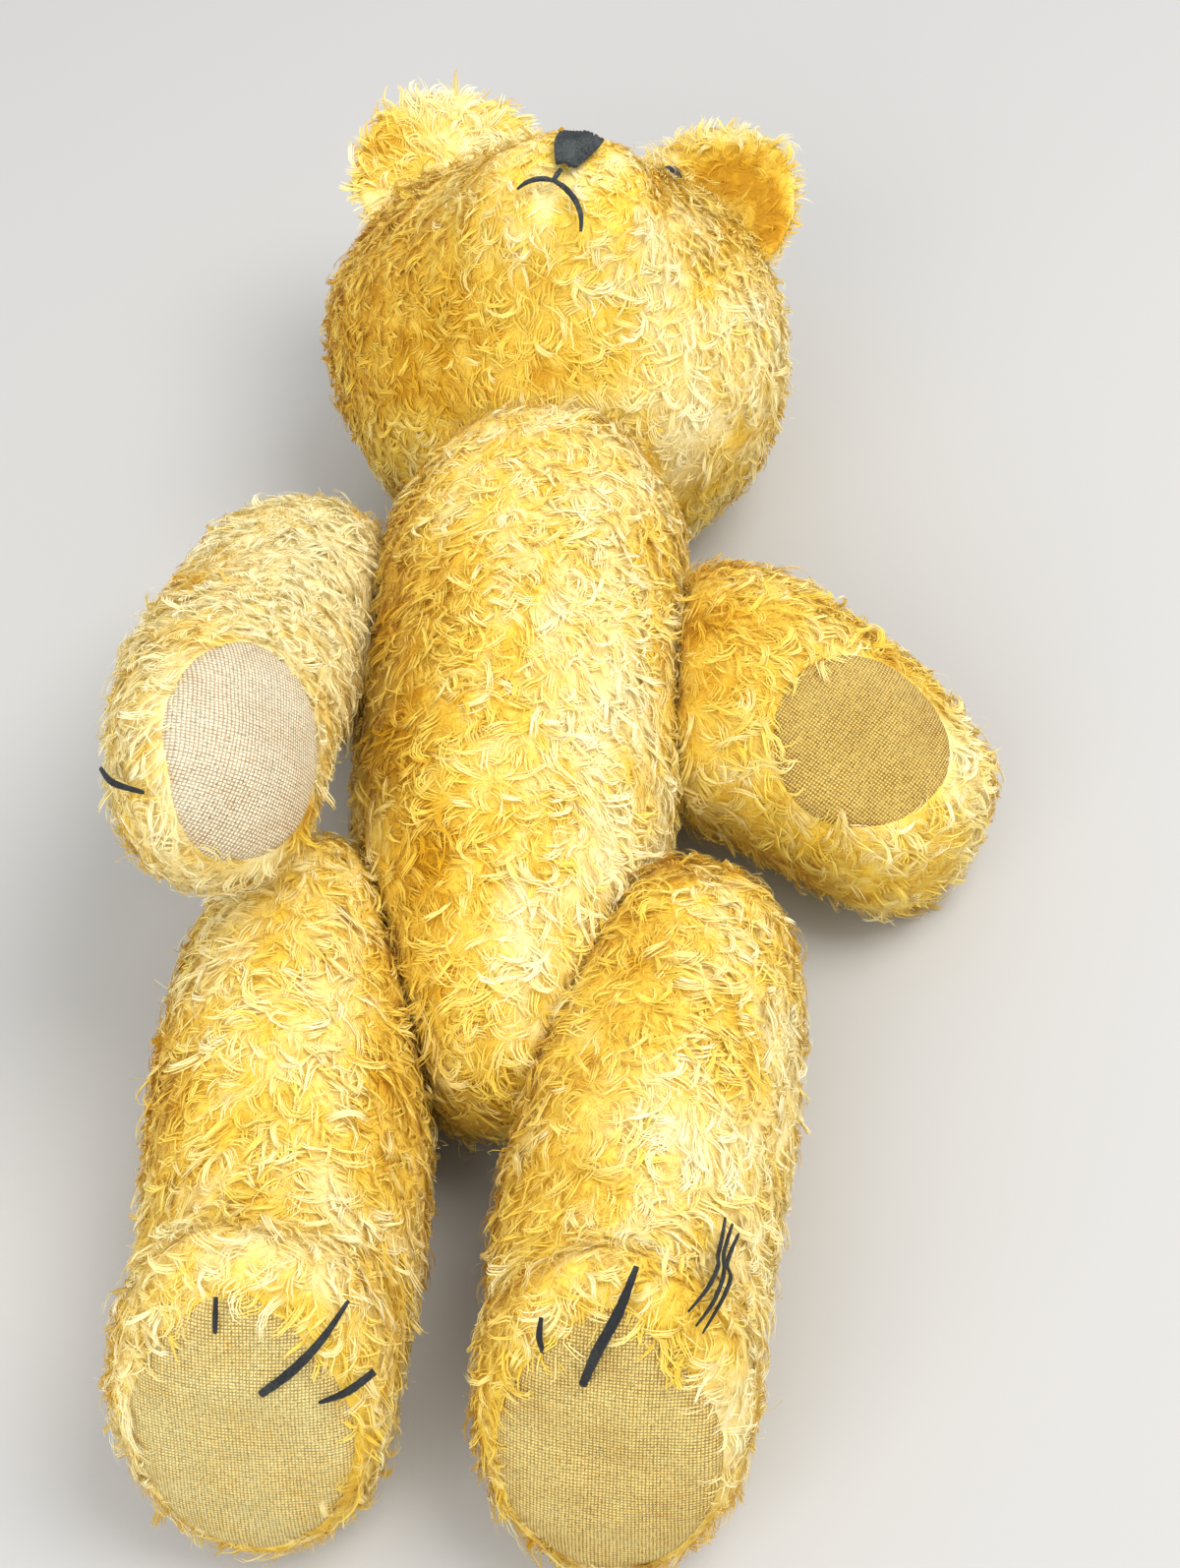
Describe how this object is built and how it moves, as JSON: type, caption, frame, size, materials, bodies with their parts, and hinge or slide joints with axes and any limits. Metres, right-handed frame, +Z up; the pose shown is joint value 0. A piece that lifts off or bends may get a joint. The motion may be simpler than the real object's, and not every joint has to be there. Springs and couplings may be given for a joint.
{
  "type": "teddy bear",
  "caption": "Worn jointed plush toy bear lying on its back, with woven pads, stitched claws and an embroidered nose.",
  "frame": {"origin": "middle of the flat spot on the torso's back, on the table", "axes": "+Z up from the table, +Y towards the head, +X to the bear's left"},
  "size_m": [0.1869, 0.3503, 0.1093],
  "materials": {
    "plush": "threadbare curly pile",
    "wood_wool": "loose wood wool",
    "fibre_board": "matt fibre board",
    "steel": "dull",
    "ear_plush": "matted pile",
    "eye_bead": "glossy",
    "black_thread": "embroidery thread",
    "paw_weave": "worn plain weave",
    "foot_weave": "worn plain weave"
  },
  "bodies": {
    "torso": {"torso_cover": "plush", "torso_stuffing": "wood_wool", "neck_torso_disc": "fibre_board", "neck_torso_washer": "steel", "shoulder_left_torso_disc": "fibre_board", "shoulder_left_torso_washer": "steel", "shoulder_right_torso_disc": "fibre_board", "shoulder_right_torso_washer": "steel", "hip_left_torso_disc": "fibre_board", "hip_left_torso_washer": "steel", "hip_right_torso_disc": "fibre_board", "hip_right_torso_washer": "steel"},
    "head": {"head_cover": "plush", "head_stuffing": "wood_wool", "ear_left": "ear_plush", "ear_right": "ear_plush", "eye_left": "eye_bead", "eye_right": "eye_bead", "nose_stitching": "black_thread", "mouth_stem": "black_thread", "mouth_right": "black_thread", "mouth_left": "black_thread", "neck_head_disc": "fibre_board", "neck_head_washer": "steel", "neck_split_pin": "steel"},
    "arm_left": {"arm_left_cover": "plush", "arm_left_stuffing": "wood_wool", "paw_pad_left": "paw_weave", "shoulder_left_arm_left_disc": "fibre_board", "shoulder_left_arm_left_washer": "steel", "shoulder_left_split_pin": "steel"},
    "arm_right": {"arm_right_cover": "plush", "arm_right_stuffing": "wood_wool", "paw_pad_right": "paw_weave", "claw_arm_right": "black_thread", "shoulder_right_arm_right_disc": "fibre_board", "shoulder_right_arm_right_washer": "steel", "shoulder_right_split_pin": "steel"},
    "leg_left": {"leg_left_cover": "plush", "leg_left_stuffing": "wood_wool", "foot_pad_left": "foot_weave", "claw_foot_left_1": "black_thread", "claw_foot_left_2": "black_thread", "claw_foot_left_3a": "black_thread", "claw_foot_left_3b": "black_thread", "claw_foot_left_3c": "black_thread", "hip_left_leg_left_disc": "fibre_board", "hip_left_leg_left_washer": "steel", "hip_left_split_pin": "steel"},
    "leg_right": {"leg_right_cover": "plush", "leg_right_stuffing": "wood_wool", "foot_pad_right": "foot_weave", "claw_foot_right_1": "black_thread", "claw_foot_right_2": "black_thread", "claw_foot_right_3": "black_thread", "hip_right_leg_right_disc": "fibre_board", "hip_right_leg_right_washer": "steel", "hip_right_split_pin": "steel"}
  },
  "joints": [
    {"name": "neck", "type": "hinge", "parent": "torso", "child": "head", "pos_m": [0, 0.072, 0.042], "axis": [0, 1, 0], "range_deg": [-90, 90]},
    {"name": "shoulder_left", "type": "hinge", "parent": "torso", "child": "arm_left", "pos_m": [0.0345, 0.031, 0.036], "axis": [1, 0, 0], "range_deg": [-95, 95]},
    {"name": "shoulder_right", "type": "hinge", "parent": "torso", "child": "arm_right", "pos_m": [-0.0345, 0.034, 0.036], "axis": [-1, 0, 0], "range_deg": [0, 95]},
    {"name": "hip_left", "type": "hinge", "parent": "torso", "child": "leg_left", "pos_m": [0.024, -0.05, 0.031], "axis": [0.9336, -0.3584, 0], "range_deg": [-95, 90]},
    {"name": "hip_right", "type": "hinge", "parent": "torso", "child": "leg_right", "pos_m": [-0.024, -0.05, 0.031], "axis": [-0.9336, -0.3584, 0], "range_deg": [-90, 20]}
  ]
}
